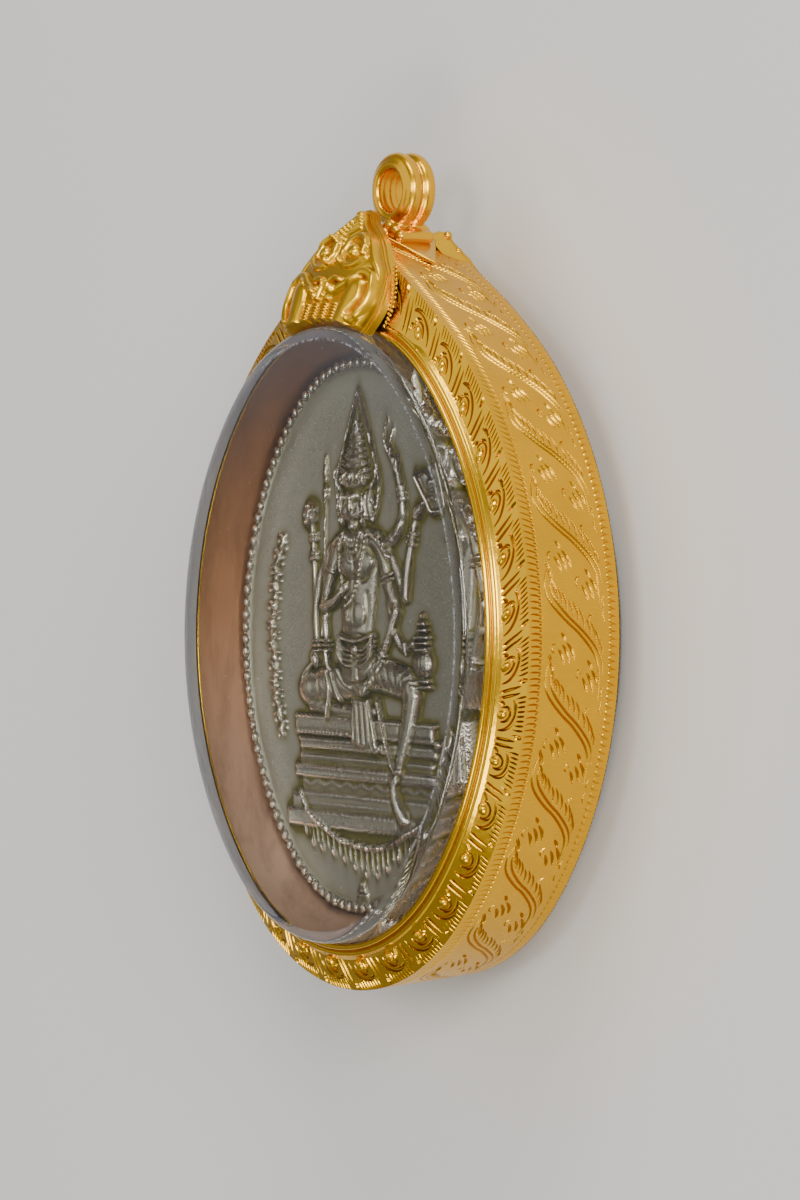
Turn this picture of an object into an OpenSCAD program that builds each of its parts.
// Coin amulet: an oval medal in a clear capsule, framed in an engraved gold leaf-shaped case
// with a front and a back bezel, a crest at the top of each and a double-ring bail.
// It lies on its back: X to its right, Y towards the bail, Z out of its face, floor at Z = 0.

/* [Case outline] */
// Width of the case at its widest
case_w = 38; // [34:0.5:44]
// Radius of the outline round the bottom
bottom_r = 16.6; // [15:0.1:18]
// Radius of the outline along the sides
side_r = 24.8; // [22:0.1:27]
// Radius of the outline between shoulder and tip
upper_r = 52; // [45:1:70]
// Angle below the widest line where the bottom arc begins
bottom_angle = 45; // [38:1:52]
// Angle above the widest line where the upper arc begins
upper_angle = 52; // [46:1:56]

/* [Wall] */
// Depth of the side wall from front edge to back edge
wall_depth = 7.4; // [6:0.1:9]
// How far the wall draws in from front to back
wall_draft = 0.8; // [0:0.1:1.2]
// Thickness of the gold sheet of the wall
wall_t = 0.5; // [0.4:0.05:0.7]

/* [Bezels] */
// Plan width of the engraved sloping panel
panel_w = 2.3; // [1.8:0.1:2.6]
// Rise of the panel from the outer edge to the moulding
panel_rise = 0.82; // [0.5:0.02:1.1]
// Thickness of the gold sheet of a bezel
bezel_t = 0.45; // [0.35:0.05:0.6]
// Radius of each of the two half-round mouldings round the opening
moulding_r = 0.2; // [0.14:0.01:0.22]
// Half width of the opening
opening_a = 16.1; // [15.8:0.1:16.3]
// Half height of the opening
opening_b = 19.45; // [19.1:0.05:19.6]

/* [Crest] */
// Height of the crest's face above the bezel's edge, on the line of its shoulders
crest_z = 0.7; // [0.5:0.05:1]
// Distance of the crest's shoulders above the widest line of the case
crest_y = 23; // [22.5:0.1:23.5]
// Backward lean of the crest
crest_lean = 21.8; // [18:0.2:25]
// Thickness of the crest
crest_t = 0.6; // [0.4:0.05:0.8]
// Half width of the crest
crest_a = 4.9; // [4.4:0.1:5.4]

/* [Bail] */
// Radius of the bail's hole
bail_hole_r = 1.35; // [1.3:0.05:1.6]
// Radius of the wire of each ring
bail_wire_r = 0.55; // [0.45:0.05:0.6]
// Distance of the bail's centre above the widest line of the case
bail_y = 28.1; // [27.8:0.1:28.6]
// Distance between the middles of the two rings
bail_pitch = 1; // [0.9:0.05:1.1]

/* [Capsule] */
// Height of the flat face of each lens above the bezel's edge
lens_proud = 2.95; // [2.6:0.01:3.2]
// Radius of the rounded shoulder of each lens
lens_shoulder_r = 0.6; // [0.3:0.05:0.8]
// Thickness of the front window over the medal's pocket
window_t = 6.09; // [5.8:0.01:6.2]

/* [Medal] */
// Half width of the medal
medal_a = 13.4; // [12:0.1:13.6]
// Half height of the medal
medal_b = 17.6; // [16.5:0.1:17.7]
// Radius of the medal's rounded ends
medal_end_r = 10.5; // [10:0.1:11.5]
// Thickness of the medal at its field
medal_t = 2; // [1.5:0.1:2.2]
// Depth of the medal's field behind the bezel's edge
field_depth = 4.24; // [4:0.01:4.4]
// Height of the bead border above the field
border_h = 0.4; // [0.2:0.05:0.6]
// Height of the raised figure above the field
relief_h = 0.9; // [0.5:0.05:1.2]

/* [Hidden] */
$fn = 64;
far = 60;
// Clear gap between pieces that meet
gap = 0.05;
// Overlap of two solids that are fused
bite = 0.1;
case_a = case_w / 2;
bail_r = bail_hole_r + bail_wire_r;
bail_top = bail_y + bail_r + bail_wire_r;
case_bottom = (side_r - bottom_r) * sin(bottom_angle) + bottom_r;
// Place of the front edge of the wall in the part's frame
origin_y = (bail_top - case_bottom) / 2;
origin_z = wall_depth + lens_proud;
// Depth of the vertical rim of a bezel, below its edge
rim_h = 0.33;
// Height of the inner moulding's crown above the bezel's edge
moulding_top = 1.37;
moulding_in = case_a - opening_a;
// Ridge of the bail's saddle above the widest line of the case
saddle_y = 25.3;
flange_w = 0.75;
flange_top = 0.2;
pocket_a = medal_a + 0.2;
pocket_b = medal_b + 0.2;
pocket_end_r = medal_end_r + 0.2;
window_in = lens_proud - window_t;
// Plane behind the medal where the two halves of the capsule meet
part_z = -field_depth - medal_t - gap / 2;

// Arcs of the case's outline, anticlockwise, one row each:
// centre x, centre y, radius, first angle, last angle, side of the case that it stops at (0 for none)
function leaf_arcs() = let (
    side_x = case_a - side_r,
    up_x = side_x + (side_r - upper_r) * cos(upper_angle),
    up_y = (side_r - upper_r) * sin(upper_angle),
    tip = acos(-up_x / upper_r) + 4
) [
    [0, (bottom_r - side_r) * sin(bottom_angle), bottom_r, bottom_angle - 180, -bottom_angle, 0],
    [side_x, 0, side_r, -bottom_angle, upper_angle, 0],
    [up_x, up_y, upper_r, upper_angle, tip, 1],
    [-up_x, up_y, upper_r, 180 - tip, 180 - upper_angle, -1],
    [-side_x, 0, side_r, 180 - upper_angle, 180 + bottom_angle, 0]
];

// Arcs of an oval with the given half width, half height and end radius, in rows of the same kind.
// The angle where end and side join is a whole number of thousandths, and both radii follow from it.
function oval_arcs(a, b, r) = let (
    wanted = (a * a + b * b - 2 * b * r) / (2 * (a - r)),
    turn = round(1000 * asin((b - r) / (wanted - r))) / 1000,
    reach = (b - a) / (cos(turn) + sin(turn) - 1),
    end = b - reach * sin(turn),
    side = a + reach * cos(turn)
) [
    [0, end - b, end, turn - 180, -turn, 0],
    [a - side, 0, side, -turn, turn, 0],
    [0, b - end, end, turn, 180 - turn, 0],
    [side - a, 0, side, 180 - turn, 180 + turn, 0]
];

// Points along the arcs of an oval
function outline(arcs, steps = 24) = [
    for (arc = arcs) for (i = [0:steps - 1])
        let (t = arc[3] + (arc[4] - arc[3]) * i / steps)
            [arc[0] + arc[2] * cos(t), arc[1] + arc[2] * sin(t)]
];

// Moves in whole and part millimetres, so that arcs which join stay joined to the last digit
module put(x, y) {
    translate([floor(x), floor(y), 0]) translate([x - floor(x), y - floor(y), 0]) children();
}

// Keeps what lies on one side of the middle of the case, or everything
module keep_side(side) {
    if (side == 0) children();
    else intersection() {
        children();
        translate([side > 0 ? 0 : -far, -far, -far]) cube([far, 2 * far, 2 * far]);
    }
}

// A ring: the child, drawn as distance from the outline and height, follows the arcs
module ring(arcs) {
    for (arc = arcs)
        keep_side(arc[5]) put(arc[0], arc[1])
            rotate_extrude(angle = arc[4] - arc[3], start = arc[3], $fn = 180)
                translate([floor(arc[2]), 0]) translate([arc[2] - floor(arc[2]), 0]) children();
}

// A plate with an oval outline between two heights
module oval_plate(a, b, r, z0, z1) {
    translate([0, 0, z0]) linear_extrude(z1 - z0) polygon(outline(oval_arcs(a, b, r)));
}

// Everything behind the underside of a crest, which leans back past the tip of the case
module behind_crest() {
    translate([0, crest_y, crest_z]) rotate([-crest_lean, 0, 0])
        translate([-far, -far, -2 * far]) cube([2 * far, 2 * far, 2 * far - crest_t]);
}

// The wall of gold sheet, cut back under both crests
module wall() {
    intersection() {
        ring(leaf_arcs()) polygon([
            [0, -rim_h - gap],
            [-wall_draft, -wall_depth + rim_h + gap],
            [-wall_draft - wall_t, -wall_depth + rim_h + gap],
            [-wall_t, -rim_h - gap]
        ]);
        translate([0, 0, -gap]) behind_crest();
        translate([0, 0, -wall_depth + gap]) mirror([0, 0, 1]) behind_crest();
    }
}

// The lozenge plate that carries the bail, folded over the ridge at the tip of the case
module saddle() {
    half_len = 2.4;
    half_span = 4;
    plate_t = 0.4;
    roof = 26;
    lean = 7;
    translate([0, saddle_y, -wall_depth / 2]) rotate([-lean, 0, 0]) {
        for (s = [0, 1]) mirror([s, 0, 0])
            rotate([0, 0, -roof]) rotate([90, 0, 0]) linear_extrude(plate_t)
                polygon([[-0.1, half_len], [0, half_len], [half_span, 0], [0, -half_len], [-0.1, -half_len]]);
    }
}

// Two rings side by side on a short tube, so that the cord or jump ring bears on a true bore
module bail() {
    tube_len = bail_pitch + 1.2 * bail_wire_r;
    translate([0, bail_y, -wall_depth / 2]) {
        difference() {
            union() {
                for (s = [-1, 1]) translate([0, 0, s * bail_pitch / 2])
                    rotate_extrude($fn = 96) translate([bail_r, 0]) circle(bail_wire_r);
                cylinder(r = bail_r, h = tube_len, center = true);
                translate([0, -bail_r - 0.4, 0]) cube([1.5, 1.2, tube_len], center = true);
            }
            cylinder(r = bail_hole_r, h = 4 * tube_len, center = true);
        }
    }
}

module case_band() {
    color("#d9a521") place() {
        wall();
        saddle();
        bail();
    }
}

// The crest's outline: two lobes under a pointed tip, drawn in the plane of its face
module crest_outline() {
    lobe_r = 2.55;
    translate([lobe_r - crest_a, -1.55]) circle(lobe_r);
    translate([crest_a - lobe_r, -1.55]) circle(lobe_r);
    polygon([
        [0, 4.05], [-1.3, 2.9], [-3.1, 1.4], [-4.4, 0.1],
        [-2.6, -3.9], [2.6, -3.9],
        [4.4, 0.1], [3.1, 1.4], [1.3, 2.9]
    ]);
}

// Raised work of a crest: outer scrolls, small scrolls with ball eyes, flutes and a fan of ribs
module crest_relief() {
    wire = 0.22;
    for (s = [-1, 1]) {
        translate([s * 2.75, -1.5, 0]) rotate([0, 0, s > 0 ? -130 : 60])
            rotate_extrude(angle = 250) translate([1.6, 0]) circle(wire, $fn = 24);
        translate([s * 1.25, 1.2, 0]) rotate_extrude() translate([0.55, 0]) circle(wire, $fn = 24);
        translate([s * 1.25, 1.2, 0]) sphere(0.28, $fn = 24);
        translate([s * 1.05, -0.7, 0]) sphere(0.3, $fn = 24);
    }
    for (i = [-2:2])
        translate([i * 0.42, -2, 0]) rotate([90, 0, i * 5]) cylinder(r = 0.19, h = 1.9, $fn = 24);
    for (i = [-1:1])
        translate([i * 0.45, 1.9, 0]) rotate([-90, 0, i * 22]) cylinder(r = 0.15, h = 1.2, $fn = 24);
}

module crest() {
    translate([0, crest_y, crest_z]) rotate([-crest_lean, 0, 0]) {
        translate([0, 0, -crest_t]) linear_extrude(crest_t) crest_outline();
        crest_relief();
    }
}

// A point of a half-round moulding whose crown stands at the given height
function moulding_point(u, top, t) = [u + moulding_r * cos(t), top - moulding_r + moulding_r * sin(t)];

// A bezel drawn as the front one: sloping panel, double moulding and crest in one piece of sheet
module bezel(draw_in) {
    lap = 0.4;
    out = -draw_in;
    inn = -draw_in - panel_w;
    a = opening_a - draw_in;
    b = opening_b - draw_in;
    r = bottom_r - moulding_in - draw_in;
    difference() {
        union() {
            intersection() {
                ring(leaf_arcs()) polygon([
                    [out, -rim_h],
                    [out, 0],
                    [inn, panel_rise],
                    [inn - lap, panel_rise],
                    [inn - lap, panel_rise - bezel_t],
                    [inn, panel_rise - bezel_t],
                    [out - bezel_t, -rim_h]
                ]);
                translate([0, 0, bite]) behind_crest();
            }
            ring(oval_arcs(a, b, r)) polygon(concat(
                [[0, 0.5]],
                [for (t = [180:-30:30]) moulding_point(moulding_r, moulding_top, t)],
                [for (t = [120:-30:0]) moulding_point(2.6 * moulding_r, panel_rise + 0.26, t)],
                [[1.1, panel_rise - 0.02], [1.1, panel_rise - bezel_t], [0.4, 0.35]]
            ));
            difference() {
                crest();
                oval_plate(a + gap, b + gap, r + gap, -2, lens_proud + 1);
            }
        }
        oval_plate(a - bite / 2, b - bite / 2, r - bite / 2, -2, moulding_top + bite);
    }
}

module front_bezel() {
    color("#e0ab24") place() bezel(0);
}

module back_bezel() {
    color("#cf9a1d") place() translate([0, 0, -wall_depth]) mirror([0, 0, 1]) bezel(wall_draft);
}

// Half a capsule, solid: face at the top, rounded shoulder, flange that the bezel holds
module lens(draw_in, bottom) {
    a = opening_a - draw_in - gap;
    b = opening_b - draw_in - gap;
    r = bottom_r - moulding_in - draw_in - gap;
    ring(oval_arcs(a, b, r)) {
        translate([-2, bottom]) square([2, lens_proud - lens_shoulder_r - bottom]);
        translate([-2, bottom]) square([2 - lens_shoulder_r, lens_proud - bottom]);
        translate([-lens_shoulder_r, lens_proud - lens_shoulder_r])
            circle(lens_shoulder_r, $fn = 48);
        translate([-2, bottom]) square([2 + flange_w, flange_top - bottom]);
    }
    oval_plate(a - 1, b - 1, r - 1, bottom, lens_proud);
}

// The thick front half, with the medal's pocket sunk into it from behind
module front_lens() {
    bottom = part_z + gap / 2;
    color("#dfe8ec", 0.4) place() difference() {
        lens(0, bottom);
        oval_plate(pocket_a, pocket_b, pocket_end_r, bottom - 1, window_in);
    }
}

// The back half closes the pocket
module back_lens() {
    color("#dfe8ec", 0.4) place() translate([0, 0, -wall_depth]) mirror([0, 0, 1])
        lens(wall_draft, -wall_depth - part_z + gap / 2);
}

// A rod with round ends, sunk to its middle in the medal's field
module limb(p, q, r) {
    d = q - p;
    for (end = [p, q]) translate([end[0], end[1], 0]) sphere(1.06 * r);
    translate([p[0], p[1], 0]) rotate([0, 0, atan2(d[1], d[0])]) rotate([0, 90, 0])
        cylinder(r = r, h = norm(d));
}

// Steps of the throne, one row each: lower edge, height, half width, thickness
function throne_steps() = [
    [-6.2, 1.2, 7.3, 0.55],
    [-7.7, 1.5, 6.8, 0.4],
    [-9.1, 1.4, 7.5, 0.55],
    [-10.8, 1.7, 6.9, 0.4],
    [-12.2, 1.4, 8.3, 0.6]
];

// Limbs of the figure, one row each: first point, last point, radius
function limbs() = [
    [[-1.2, 4.9], [1.2, 4.9], 0.85],
    [[0, 4.6], [0, -1.4], 0.8],
    [[1.4, -2.2], [4.9, -4.2], 0.8],
    [[4.9, -4.4], [4, -10.8], 0.6],
    [[0.4, -2.7], [-5.2, -4.4], 0.8],
    [[-4.9, -4.7], [1.6, -5.1], 0.55],
    [[1.9, 5.6], [3.6, 2], 0.5],
    [[3.6, 1.9], [2.2, -1.6], 0.42],
    [[-1.9, 5.6], [-3.6, 2], 0.5],
    [[-3.6, 1.9], [-2.2, -1.6], 0.42],
    [[2.1, 5.3], [4.4, 3.4], 0.45],
    [[4.4, 3.5], [4.8, 7.6], 0.38],
    [[-2.1, 5.3], [-4.5, 2.6], 0.4],
    [[-4.5, 2.7], [-4.6, 8.4], 0.3]
];

// The medal: its plate, the seated figure in low relief with four arms, tall crown and pointed halo,
// and the border
module medal() {
    rim_w = 0.9;
    head_r = 1.05;
    lap = 0.05;
    color("#8f8f86") place() translate([0, 0, -field_depth]) {
        oval_plate(medal_a, medal_b, medal_end_r, -medal_t, 0);
        for (row = limbs()) limb(row[0], row[1], row[2]);
        for (step = throne_steps())
            translate([-step[2], step[0], -0.5]) cube([2 * step[2], step[1] + lap, step[3] + 0.5]);
        translate([0, 8.4, relief_h - head_r]) sphere(head_r);
        translate([0, 9.1, 0]) rotate([-90, 0, 0]) cylinder(r1 = 0.8, r2 = 0.12, h = 5);
        for (s = [-1, 1]) {
            limb([s * 1.6, 7.6], [s * 2.9, 10.4], 0.2);
            limb([s * 2.9, 10.6], [s * 0.3, 15.2], 0.17);
        }
        translate([-4.6, 9, 0]) sphere(0.7);
        translate([6.4, -1.2, 0]) sphere(0.8);
        ring(oval_arcs(medal_a, medal_b, medal_end_r))
            translate([-rim_w, -bite]) square([rim_w - 0.1, border_h + bite]);
    }
}

// Moves a piece from the middle of the front edge of the wall to the part's frame
module place() {
    translate([0, -origin_y, origin_z]) children();
}

case_band();
front_bezel();
back_bezel();
front_lens();
back_lens();
medal();
